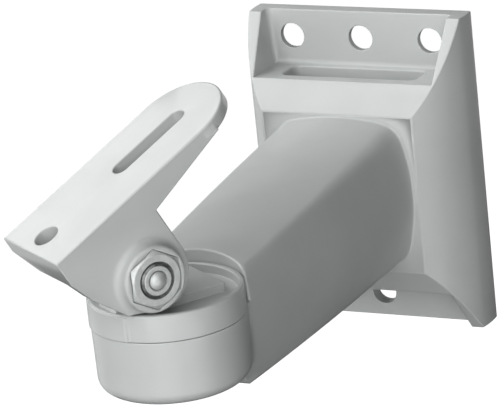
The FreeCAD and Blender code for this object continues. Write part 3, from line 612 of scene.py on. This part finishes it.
@dataclass
class WoundSection:
    """A node tree that winds a four-sided section round an axis, as a coil or a screw thread."""

    name: str
    finish: bpy.types.Material
    steps_per_turn: int = 72
    smooth_angle: float = 28.0
    tree: bpy.types.NodeTree = field(init=False)
    sockets: dict[Winding, str] = field(init=False, default_factory=dict)
    entry: bpy.types.Node = field(init=False)

    def __post_init__(self) -> None:
        """Builds the tree."""
        self.tree = bpy.data.node_groups.new(self.name, "GeometryNodeTree")
        for size in Winding:
            socket = self.tree.interface.new_socket(
                size.value, in_out="INPUT", socket_type="NodeSocketFloat"
            )
            self.sockets[size] = socket.identifier
        self.tree.interface.new_socket(
            "Geometry", in_out="OUTPUT", socket_type="NodeSocketGeometry"
        )
        self.entry = self.add("NodeGroupInput")
        self.wind()

    def add(self, kind: str) -> bpy.types.Node:
        """Adds a node to the tree."""
        return self.tree.nodes.new(kind)

    def link(self, source: bpy.types.NodeSocket, target: bpy.types.NodeSocket) -> None:
        """Joins two sockets."""
        self.tree.links.new(source, target)

    def scaled(self, size: Winding, factor: float) -> bpy.types.NodeSocket:
        """One of the named inputs times a factor.

        Args:
            size: The input.
            factor: What it is multiplied by.

        Returns:
            The product's socket.
        """
        node = self.add("ShaderNodeMath")
        node.operation = "MULTIPLY"
        node.inputs[1].default_value = factor
        self.link(self.entry.outputs[size.value], node.inputs[0])
        return node.outputs[0]

    def corner(
        self, target: bpy.types.NodeSocket, depth: float, width: Winding, share: float
    ) -> None:
        """Sets one corner of the section.

        Args:
            target: The section's corner socket.
            depth: 0 on the inner side and 1 on the outer side.
            width: The input that gives the width there.
            share: How much of that width the corner stands off the middle.
        """
        point = self.add("ShaderNodeCombineXYZ")
        # The swept section's X points at the axis.
        self.link(self.scaled(Winding.DEPTH, -depth), point.inputs["X"])
        self.link(self.scaled(width, share), point.inputs["Y"])
        self.link(point.outputs["Vector"], target)

    def wind(self) -> None:
        """Makes the section, its path and the swept body."""
        section = self.add("GeometryNodeCurvePrimitiveQuadrilateral")
        section.mode = "POINTS"
        self.corner(section.inputs["Point 1"], 0.0, Winding.ROOT_WIDTH, -0.5)
        self.corner(section.inputs["Point 2"], 1.0, Winding.CREST_WIDTH, -0.5)
        self.corner(section.inputs["Point 3"], 1.0, Winding.CREST_WIDTH, 0.5)
        self.corner(section.inputs["Point 4"], 0.0, Winding.ROOT_WIDTH, 0.5)
        path = self.add("GeometryNodeCurveSpiral")
        path.inputs["Resolution"].default_value = self.steps_per_turn
        for size, socket in (
            (Winding.TURNS, "Rotations"),
            (Winding.INNER_RADIUS, "Start Radius"),
            (Winding.INNER_RADIUS, "End Radius"),
            (Winding.RISE, "Height"),
        ):
            self.link(self.entry.outputs[size.value], path.inputs[socket])
        upright = self.add("GeometryNodeSetCurveNormal")
        upright.mode = "Z_UP"
        self.link(path.outputs["Curve"], upright.inputs["Curve"])
        sweep = self.add("GeometryNodeCurveToMesh")
        sweep.inputs["Fill Caps"].default_value = True
        self.link(upright.outputs["Curve"], sweep.inputs["Curve"])
        self.link(section.outputs["Curve"], sweep.inputs["Profile Curve"])
        whole = self.add("GeometryNodeRealizeInstances")
        self.link(sweep.outputs["Mesh"], whole.inputs["Geometry"])
        dress = self.add("GeometryNodeSetMaterial")
        dress.inputs["Material"].default_value = self.finish
        self.link(whole.outputs["Geometry"], dress.inputs["Geometry"])
        self.link(dress.outputs["Geometry"], self.add("NodeGroupOutput").inputs["Geometry"])

    def make(self, name: str, sizes: dict[Winding, float], place: Matrix) -> bpy.types.Object:
        """Runs the tree with the given sizes.

        Args:
            name: The new piece's name.
            sizes: A value for each named input.
            place: Where the piece goes; its axis is the matrix's Z.

        Returns:
            The piece as a plain mesh, with its place in its mesh.
        """
        carrier = link_object(f"{name}_carrier", bpy.data.meshes.new(f"{name}_carrier"))
        modifier = carrier.modifiers.new("winding", "NODES")
        modifier.node_group = self.tree
        for size, value in sizes.items():
            modifier[self.sockets[size]] = value
        wound = carrier.evaluated_get(bpy.context.evaluated_depsgraph_get())
        mesh = bpy.data.meshes.new_from_object(wound)
        mesh.name = name
        bpy.data.objects.remove(carrier)
        mesh.transform(place)
        close_skin(mesh)
        piece = link_object(name, mesh)
        shade_by_angle(piece, self.smooth_angle)
        return piece


# The bracket


@dataclass
class Casting:
    """A piece that keeps its CAD node's form and is dressed over it."""

    node: str
    body: Body
    slot: Slot = Slot.PAINT
    smooth_angle: float = 32.0

    def build(self, finishes: Finishes) -> bpy.types.Object:
        """Makes the skin, dresses it and ties it to its body.

        Args:
            finishes: The bracket's materials.

        Returns:
            The finished piece.
        """
        piece = merged_copy(self.node, f"{self.node}_skin")
        shade_by_angle(piece, self.smooth_angle)
        piece.data.materials.clear()
        piece.data.materials.append(finishes.of(self.slot))
        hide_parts(self.node)
        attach(piece, self.body.value)
        return piece


@dataclass
class SwivelHead:
    """The castings that turn: the swivel base and the saddle."""

    base: Casting = field(default_factory=lambda: Casting("swivel_base", Body.TURNTABLE))
    saddle: Casting = field(default_factory=lambda: Casting("saddle", Body.HEAD))

    def build(self, finishes: Finishes) -> list[bpy.types.Object]:
        """Builds both castings."""
        return [self.base.build(finishes), self.saddle.build(finishes)]


@dataclass(frozen=True)
class Axle:
    """A fastener's axis: a point on it and the way it points out of the joint."""

    point: tuple[float, float, float]
    out: tuple[float, float, float]
    level: tuple[float, float, float]

    def place(self, along: float) -> Matrix:
        """Finds the frame of a piece on this axis.

        Args:
            along: Distance from the axis's point, in metres.

        Returns:
            The matrix from the piece's own frame, whose Z is the axis, to the scene.
        """
        out, level = Vector(self.out), Vector(self.level)
        turn = Matrix((level, out.cross(level), out)).transposed().to_4x4()
        return Matrix.Translation(Vector(self.point) + out * along) @ turn


# The pan line stands REACH out from the wall, and the head is photographed at PAN_ANGLE on it.
# The tilt bolt's axis passes the pan line at TILT_SIDE, TILT_HEIGHT above the origin.
REACH = 179.0 * MM
PAN_ANGLE = math.radians(57.0)
TILT_SIDE = 15.0 * MM
TILT_HEIGHT = 25.8 * MM
HEAD_RIGHT = (math.cos(PAN_ANGLE), math.sin(PAN_ANGLE), 0.0)
HEAD_FRONT = (math.sin(PAN_ANGLE), -math.cos(PAN_ANGLE), 0.0)
PAN_AXLE = Axle(point=(0.0, -REACH, 0.0), out=(0.0, 0.0, 1.0), level=(1.0, 0.0, 0.0))
TILT_AXLE = Axle(
    point=(-TILT_SIDE * HEAD_RIGHT[0], -REACH - TILT_SIDE * HEAD_RIGHT[1], TILT_HEIGHT),
    out=HEAD_FRONT,
    level=HEAD_RIGHT,
)
# Where each bolt's head bears on its spring washer, along its axle.
TILT_SEAT = -7.5 * MM
PAN_SEAT = -11.1 * MM


@dataclass
class SplitWasher:
    """A spring washer: one turn of square wire, cut through and pressed nearly flat."""

    node: str
    body: Body
    axle: Axle
    seat: float
    inner_radius: float = 6.25 * MM
    outer_radius: float = 10.5 * MM
    thickness: float = 2.3 * MM
    rise: float = 0.16 * MM
    gap: float = 2.0 * MM
    clearance: float = 0.02 * MM

    def build(self, winder: WoundSection) -> bpy.types.Object:
        """Winds the washer and ties it to its body.

        Args:
            winder: The node tree that winds sections.

        Returns:
            The finished piece.
        """
        gap_share = self.gap / (math.pi * (self.inner_radius + self.outer_radius))
        sizes = {
            Winding.INNER_RADIUS: self.inner_radius,
            Winding.DEPTH: self.outer_radius - self.inner_radius,
            Winding.ROOT_WIDTH: self.thickness,
            Winding.CREST_WIDTH: self.thickness,
            Winding.TURNS: 1.0 - gap_share,
            Winding.RISE: self.rise,
        }
        place = self.axle.place(self.seat + self.thickness / 2.0 + self.clearance)
        piece = winder.make(f"{self.node}_coil", sizes, place)
        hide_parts(self.node)
        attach(piece, self.body.value)
        return piece


@dataclass
class HexBolt:
    """A hexagon-headed bolt with a wound thread and a turned end."""

    node: str
    body: Body
    axle: Axle
    seat: float
    length: float
    thread_start: float
    domed: bool = False
    across_flats: float = 19.0 * MM
    head_height: float = 7.5 * MM
    crown_radius: float = 9.03 * MM
    crown_slope: float = 30.0
    radius: float = 6.0 * MM
    root_radius: float = 5.3 * MM
    pitch: float = 1.75 * MM
    ridge_sunk: float = 0.05 * MM
    ridge_root: float = 0.86
    ridge_crest: float = 0.12
    end_bevel: float = 0.2 * MM
    dome_radius: float = 3.1 * MM
    dome_height: float = 1.4 * MM
    dome_steps: int = 10
    groove_mouth: float = 0.675 * MM
    groove_floor: float = 0.45 * MM
    groove_depth: float = 0.5 * MM

    def section(self, angle: float) -> list[Corner]:
        """The bolt's section in one direction, from the head's middle to the tip.

        Args:
            angle: Direction round the axis, in radians.

        Returns:
            The section's corners.
        """
        side = hexagon_radius(self.across_flats, angle)
        drop = (side - self.crown_radius) * math.tan(math.radians(self.crown_slope))
        top = self.length
        corners = [
            Corner(0.0, -self.head_height),
            Corner(self.crown_radius, -self.head_height),
            Corner(side, drop - self.head_height),
            Corner(side, 0.0),
            Corner(self.radius, 0.0),
            Corner(self.radius, self.thread_start),
            # The shank under the thread is dark: oil, and painted shade in the gap inside the nut's
            # mouth.
            Corner(self.root_radius, self.thread_start + self.pitch / 2.0, oil_and_shade=True),
            Corner(self.root_radius, top - self.end_bevel),
            Corner(self.root_radius - self.end_bevel, top),
        ]
        return corners + (self.dome(top) if self.domed else [Corner(0.0, top)])

    def dome(self, top: float) -> list[Corner]:
        """The low dome of the bolt's end, inside a turned groove.

        Args:
            top: Height of the end face round the groove.

        Returns:
            The corners from the groove's mouth to the dome's middle.
        """
        corners = [
            Corner(self.dome_radius + self.groove_mouth, top),
            # The groove's floor is dark: painted shade.
            Corner(self.dome_radius + self.groove_floor, top - self.groove_depth, oil_and_shade=True),
            Corner(self.dome_radius, top - self.groove_depth),
        ]
        ball = (self.dome_radius**2 + self.dome_height**2) / (2.0 * self.dome_height)
        for step in range(self.dome_steps + 1):
            out = self.dome_radius * (1.0 - step / self.dome_steps)
            rise = math.sqrt(ball**2 - out**2) - ball + self.dome_height
            corners.append(Corner(out, top + rise))
        return corners

    def thread(self, winder: WoundSection) -> bpy.types.Object:
        """Winds the thread's ridge.

        Args:
            winder: The node tree that winds sections.

        Returns:
            The thread as a piece.
        """
        rise = self.length - self.thread_start - self.pitch
        sizes = {
            Winding.INNER_RADIUS: self.root_radius - self.ridge_sunk,
            Winding.DEPTH: self.radius - self.root_radius,
            Winding.ROOT_WIDTH: self.pitch * self.ridge_root,
            Winding.CREST_WIDTH: self.pitch * self.ridge_crest,
            Winding.TURNS: rise / self.pitch,
            Winding.RISE: rise,
        }
        start = self.seat + self.thread_start + self.pitch / 2.0
        return winder.make(f"{self.node}_thread", sizes, self.axle.place(start))

    def build(self, finishes: Finishes, winder: WoundSection) -> list[bpy.types.Object]:
        """Turns the bolt, winds its thread and ties both to their body.

        Args:
            finishes: The bracket's materials.
            winder: The node tree that winds sections.

        Returns:
            The bolt and its thread.
        """
        name = f"{self.node}_turned"
        place = self.axle.place(self.seat)
        bolt = turned_piece(name, self.section, place, finishes, ring_shaped=False)
        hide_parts(self.node)
        made = [bolt, self.thread(winder)]
        for piece in made:
            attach(piece, self.body.value)
        return made


@dataclass
class HexNut:
    """The tilt nut: a hexagon with its corners turned away and a sunk thread mouth."""

    node: str = "tilt_nut"
    across_flats: float = 19.0 * MM
    height: float = 6.0 * MM
    seat: float = 17.2 * MM
    face_radius: float = 9.05 * MM
    corner_slope: float = 38.0
    bore_radius: float = 6.02 * MM
    mouth_radius: float = 6.75 * MM
    mouth_depth: float = 1.3 * MM

    def section(self, angle: float) -> list[Corner]:
        """The nut's section in one direction.

        Args:
            angle: Direction round the axis, in radians.

        Returns:
            The section's corners.
        """
        side = hexagon_radius(self.across_flats, angle)
        drop = (side - self.face_radius) * math.tan(math.radians(self.corner_slope))
        return [
            # The bore and the mouth take the dark thread material, as painted shade for the gap
            # round the bolt.
            Corner(self.bore_radius, 0.0, oil_and_shade=True),
            Corner(self.bore_radius, self.height - self.mouth_depth, oil_and_shade=True),
            Corner(self.mouth_radius, self.height),
            Corner(self.face_radius, self.height),
            Corner(side, self.height - drop),
            Corner(side, drop),
            Corner(self.face_radius, 0.0),
        ]

    def build(self, finishes: Finishes) -> bpy.types.Object:
        """Turns the nut and ties it to the head.

        Args:
            finishes: The bracket's materials.

        Returns:
            The finished piece.
        """
        name = f"{self.node}_turned"
        place = TILT_AXLE.place(self.seat)
        piece = turned_piece(name, self.section, place, finishes, ring_shaped=True)
        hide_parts(self.node)
        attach(piece, Body.HEAD.value)
        return piece


@dataclass
class Fasteners:
    """Nuts, bolts, washers and the friction ring of both joints."""

    smooth_angle: float = 28.0
    flat_rings: tuple[tuple[str, Body, Slot], ...] = (
        ("tilt_washer", Body.HEAD, Slot.ZINC),
        ("pan_washer", Body.TURNTABLE, Slot.ZINC),
        ("tilt_friction_washer", Body.HEAD, Slot.NYLON),
        ("friction_ring", Body.ARM, Slot.NYLON),
    )
    nut: HexNut = field(default_factory=HexNut)
    spring_washers: tuple[SplitWasher, ...] = (
        SplitWasher("tilt_spring_washer", Body.HEAD, TILT_AXLE, TILT_SEAT),
        SplitWasher("pan_spring_washer", Body.TURNTABLE, PAN_AXLE, PAN_SEAT),
    )
    bolts: tuple[HexBolt, ...] = (
        HexBolt(
            "tilt_bolt",
            Body.HEAD,
            TILT_AXLE,
            TILT_SEAT,
            length=31.3 * MM,
            thread_start=16.0 * MM,
            domed=True,
        ),
        HexBolt(
            "pan_bolt",
            Body.TURNTABLE,
            PAN_AXLE,
            PAN_SEAT,
            length=21.8 * MM,
            thread_start=12.0 * MM,
        ),
    )

    def build(self, finishes: Finishes) -> list[bpy.types.Object]:
        """Builds every fastener.

        Args:
            finishes: The bracket's materials.

        Returns:
            The finished pieces.
        """
        made = []
        for node, body, slot in self.flat_rings:
            made.append(Casting(node, body, slot, self.smooth_angle).build(finishes))
        made.append(self.nut.build(finishes))
        wire = WoundSection("wound_wire", finishes.zinc)
        made.extend(washer.build(wire) for washer in self.spring_washers)
        # The thread ridges are dark: oil, and painted shade of the gap round the bolt.
        ridge = WoundSection("wound_thread", finishes.thread)
        for bolt in self.bolts:
            made.extend(bolt.build(finishes, ridge))
        return made


# Studio


def bearing(azimuth: float, elevation: float) -> Vector:
    """Direction from the bracket to what stands round it.

    Args:
        azimuth: Degrees round from the front, towards +X.
        elevation: Degrees above the level.

    Returns:
        The direction, of length 1.
    """
    round_front, above = math.radians(azimuth), math.radians(elevation)
    return Vector((
        math.sin(round_front) * math.cos(above),
        -math.cos(round_front) * math.cos(above),
        math.sin(above),
    ))


@dataclass(frozen=True)
class Softbox:
    """A rectangular studio light that stands round the bracket and faces it.

    Its azimuth and elevation are in degrees and its power is in watts.
    """

    name: str
    azimuth: float
    elevation: float
    power: float
    width: float = 1.2
    height: float = 1.2
    distance: float = 2.0
    aim: tuple[float, float, float] = (0.0, -0.1, 0.0)

    def build(self) -> None:
        """Makes the light."""
        lamp = bpy.data.lights.new(self.name, "AREA")
        lamp.shape = "RECTANGLE"
        lamp.size, lamp.size_y = self.width, self.height
        lamp.energy = self.power
        light = bpy.data.objects.new(self.name, lamp)
        out = bearing(self.azimuth, self.elevation)
        light.location = Vector(self.aim) + out * self.distance
        light.rotation_mode = "QUATERNION"
        light.rotation_quaternion = (-out).to_track_quat("-Z", "Y")
        bpy.context.scene.collection.objects.link(light)


@dataclass(frozen=True)
class Viewpoint:
    """The photograph's camera: its angles are in degrees, and its lens and sensor in millimetres."""

    azimuth: float = 27.94
    elevation: float = 18.466
    roll: float = 6.068
    distance: float = 1.5
    aim: tuple[float, float, float] = (-0.02151, -0.06917, 0.00532)
    lens: float = 287.3
    sensor: float = 36.0
    far: float = 50.0

    def build(self) -> None:
        """Makes the camera and gives it to the scene."""
        back = bearing(self.azimuth, self.elevation)
        azimuth, roll = math.radians(self.azimuth), math.radians(self.roll)
        level = Vector((math.cos(azimuth), math.sin(azimuth), 0.0))
        upright = back.cross(level)
        right = level * math.cos(roll) - upright * math.sin(roll)
        up = level * math.sin(roll) + upright * math.cos(roll)
        lens = bpy.data.cameras.new("photo_camera")
        lens.sensor_fit = "HORIZONTAL"
        lens.sensor_width = self.sensor
        lens.lens = self.lens
        lens.clip_end = self.far
        camera = bpy.data.objects.new("photo_camera", lens)
        turn = Matrix((right, up, back)).transposed().to_4x4()
        camera.matrix_world = Matrix.Translation(Vector(self.aim) + back * self.distance) @ turn
        bpy.context.scene.collection.objects.link(camera)
        bpy.context.scene.camera = camera


@dataclass
class Studio:
    """Floor, white surround, lights and camera."""

    floor_height: float = -1.2
    floor_reach: float = 12.0
    floor_segments: int = 4
    air_colour: tuple[float, float, float] = (1.0, 1.0, 1.0)
    lights: tuple[Softbox, ...] = (
        Softbox("low_left", -110.0, -25.0, 3.7),
        Softbox("low_front", 18.0, -25.0, 9.1),
        Softbox("low_right", 60.0, -25.0, 8.2),
        Softbox("rear_left", -140.0, 8.0, 1.6),
        Softbox("side_left", -86.0, 8.0, 5.3),
        Softbox("front", -10.0, 8.0, 11.7),
        Softbox("front_right", 15.0, 8.0, 7.5),
        Softbox("camera_side", 40.0, 8.0, 6.1),
        Softbox("high_left", -110.0, 36.0, 12.2),
        Softbox("left", -80.0, 36.0, 7.8),
        Softbox("front_left", -50.0, 36.0, 11.9),
        Softbox("high_front", -20.0, 36.0, 9.1),
        Softbox("high_right", 10.0, 36.0, 6.2),
        Softbox("high_camera_side", 40.0, 36.0, 8.5),
        Softbox("overhead_left", -90.0, 64.0, 9.6),
        Softbox("overhead_front", -30.0, 64.0, 0.7),
        Softbox("back", 180.0, 0.0, 9.0),
    )

    def build_floor(self) -> None:
        """Lays the paper floor, hidden from diffuse and glossy rays."""
        mesh = bpy.data.meshes.new("floor")
        sheet = bmesh.new()
        bmesh.ops.create_grid(
            sheet,
            x_segments=self.floor_segments,
            y_segments=self.floor_segments,
            size=self.floor_reach,
        )
        bmesh.ops.translate(sheet, verts=sheet.verts, vec=(0.0, 0.0, self.floor_height))
        sheet.to_mesh(mesh)
        sheet.free()
        mesh.materials.append(StudioFloor().build())
        floor = link_object("floor", mesh)
        floor.visible_diffuse = False
        floor.visible_glossy = False

    def build_air(self) -> None:
        """Makes a white surround that is only seen: it throws no light and isn't mirrored."""
        world = bpy.data.worlds.new("studio_air")
        world.use_nodes = True
        tree = world.node_tree
        background = tree.nodes["Background"]
        background.inputs["Color"].default_value = (*self.air_colour, 1.0)
        path = tree.nodes.new("ShaderNodeLightPath")
        tree.links.new(path.outputs["Is Camera Ray"], background.inputs["Strength"])
        bpy.context.scene.world = world

    def build(self) -> None:
        """Sets up the studio."""
        self.build_floor()
        for softbox in self.lights:
            softbox.build()
        self.build_air()
        bpy.context.scene.view_settings.view_transform = "Standard"
        Viewpoint().build()


def main() -> None:
    """Builds the bracket and its studio, and reports each piece."""
    logging.basicConfig(level=logging.INFO, format="%(name)s: %(message)s")
    finishes = Finishes.build()
    pieces = [Casting("wall_arm", Body.ARM).build(finishes)]
    pieces += SwivelHead().build(finishes)
    pieces += Fasteners().build(finishes)
    for piece in pieces:
        LOG.info("%s: %d faces", piece.name, len(piece.data.polygons))
    Studio().build()


if __name__ == "__main__":
    main()
